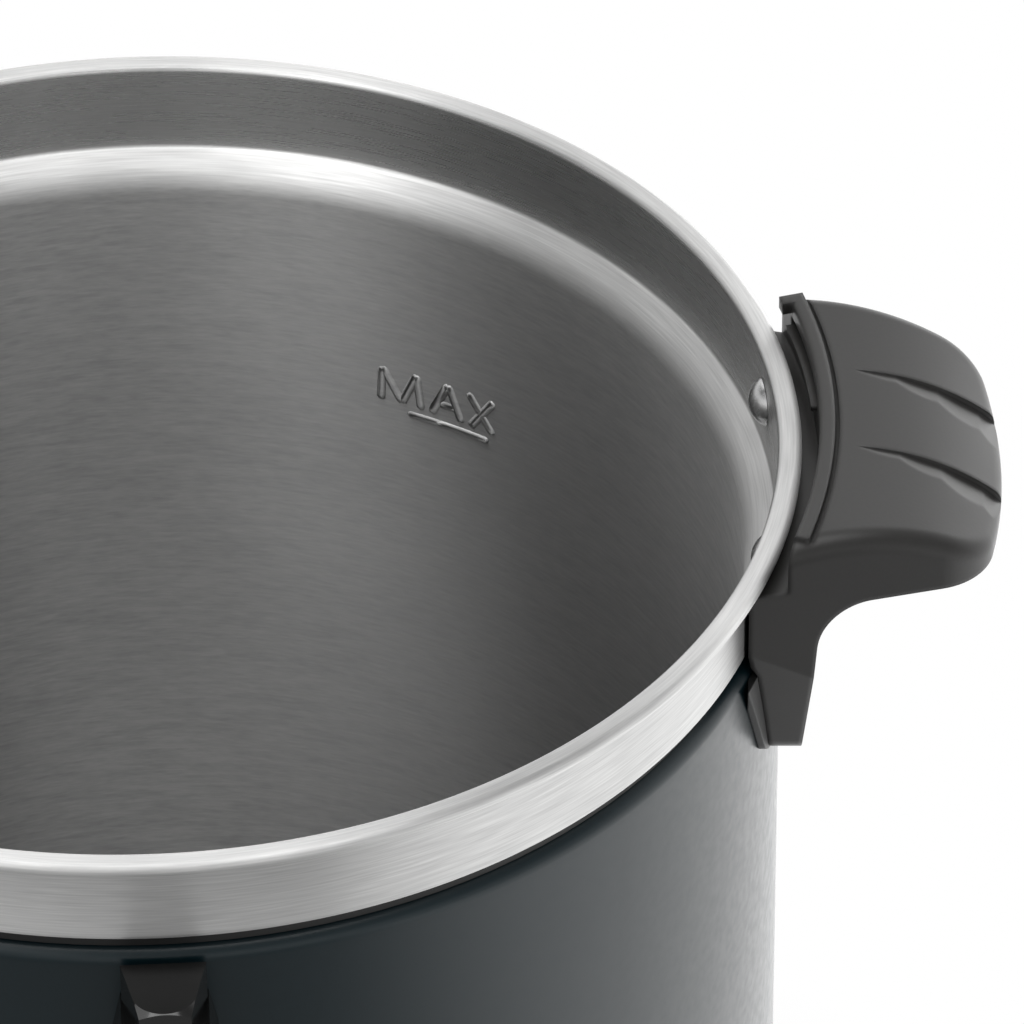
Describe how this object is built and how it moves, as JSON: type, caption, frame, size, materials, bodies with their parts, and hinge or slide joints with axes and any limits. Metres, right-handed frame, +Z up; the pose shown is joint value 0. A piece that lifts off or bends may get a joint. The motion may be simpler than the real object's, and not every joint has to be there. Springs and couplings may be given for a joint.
{
  "type": "hot water dispenser",
  "caption": "Open-top hot water urn: stainless tank with folded rim in a painted round body, moulded side handles, level gauge, lever tap, dial and switch.",
  "frame": {"origin": "On the tank's upright axis at the level of the feet's lower faces", "axes": "+Z up along the tank's axis, -Y to the front where the tap and gauge are, +X to the right-hand handle"},
  "size_m": [0.3388, 0.342, 0.3859],
  "materials": {
    "tank_steel": "brushed stainless steel, satin",
    "body_paint": "satin slate blue metallic paint",
    "handle_plastic": "warm grey moulded plastic, semi-gloss",
    "black_gloss": "black gloss plastic",
    "black_matt": "black moulded plastic",
    "black_rubber": "black rubber",
    "seal_silicone": "black silicone",
    "gauge_glass": "clear glass",
    "rivet_steel": "polished steel",
    "plate_steel": "plain steel sheet",
    "heat_alloy": "cast aluminium",
    "contact_brass": "plated brass",
    "red_lens": "red translucent lens",
    "green_lens": "green translucent lens",
    "red_button": "red plastic",
    "cream_moulding": "cream phenolic moulding"
  },
  "bodies": {
    "urn": {"inner_tank": "tank_steel", "tank_bottom": "tank_steel", "body_shell": "body_paint", "rim_seal": "seal_silicone", "right_handle": "handle_plastic", "left_handle": "handle_plastic", "right_pad": "black_matt", "left_pad": "black_matt", "right_rivet_back": "rivet_steel", "right_rivet_front": "rivet_steel", "left_rivet_back": "rivet_steel", "left_rivet_front": "rivet_steel", "base_skirt": "black_matt", "base_plate": "plate_steel", "foot_front_right": "black_rubber", "foot_front_left": "black_rubber", "foot_back_left": "black_rubber", "foot_back_right": "black_rubber", "heat_plate": "heat_alloy", "heating_element": "plate_steel", "dry_sensor": "cream_moulding", "cutout_body": "cream_moulding", "dial_plate": "black_matt", "thermostat": "cream_moulding", "switch_housing": "black_gloss", "power_lamp": "red_lens", "ready_lamp": "green_lens", "mains_inlet": "black_matt", "live_pin": "contact_brass", "earth_pin": "contact_brass", "neutral_pin": "contact_brass", "gauge_tube": "gauge_glass", "gauge_ring": "seal_silicone", "gauge_guard": "black_gloss", "gauge_cap": "black_gloss", "tap_gasket": "seal_silicone", "tap_spacer": "seal_silicone", "tap_nut": "plate_steel", "tap_body": "black_gloss", "tap_bonnet": "black_gloss", "lever_pin": "rivet_steel", "tap_spring": "rivet_steel"},
    "lever": {"tap_lever": "black_gloss"},
    "stem": {"tap_stem": "plate_steel", "valve_cup": "seal_silicone"},
    "dial": {"dial_knob": "black_gloss", "dial_shaft": "contact_brass"},
    "rocker": {"switch_rocker": "red_button"},
    "reset": {"reset_button": "red_button"}
  },
  "joints": [
    {"name": "lever_press", "type": "hinge", "parent": "urn", "child": "lever", "pos_m": [0, -0.168, 0.142], "axis": [1, 0, 0], "range_deg": [0, 25], "stiffness_Nm_per_rad": 0.4, "springref_deg": -11.46},
    {"name": "stem_lift", "type": "slide", "parent": "urn", "child": "stem", "axis": [0, 0, 1], "range_m": [0, 0.0035], "deforming": ["tap_spring"]},
    {"name": "dial_turn", "type": "hinge", "parent": "urn", "child": "dial", "pos_m": [0, -0.1263, 0.046], "axis": [0, -1, 0], "range_deg": [-270, 0]},
    {"name": "rocker_tip", "type": "hinge", "parent": "urn", "child": "rocker", "pos_m": [-0.05027, -0.11291, 0.046], "axis": [0.9135, -0.4067, 0], "range_deg": [-14, 0]},
    {"name": "reset_press", "type": "slide", "parent": "urn", "child": "reset", "axis": [0, 0, 1], "range_m": [0, 0.002], "stiffness_N_per_m": 600, "springref_m": -0.001}
  ],
  "couplings": [
    {"joint": "stem_lift", "follows": "lever_press", "m_per_rad": 0.008}
  ]
}
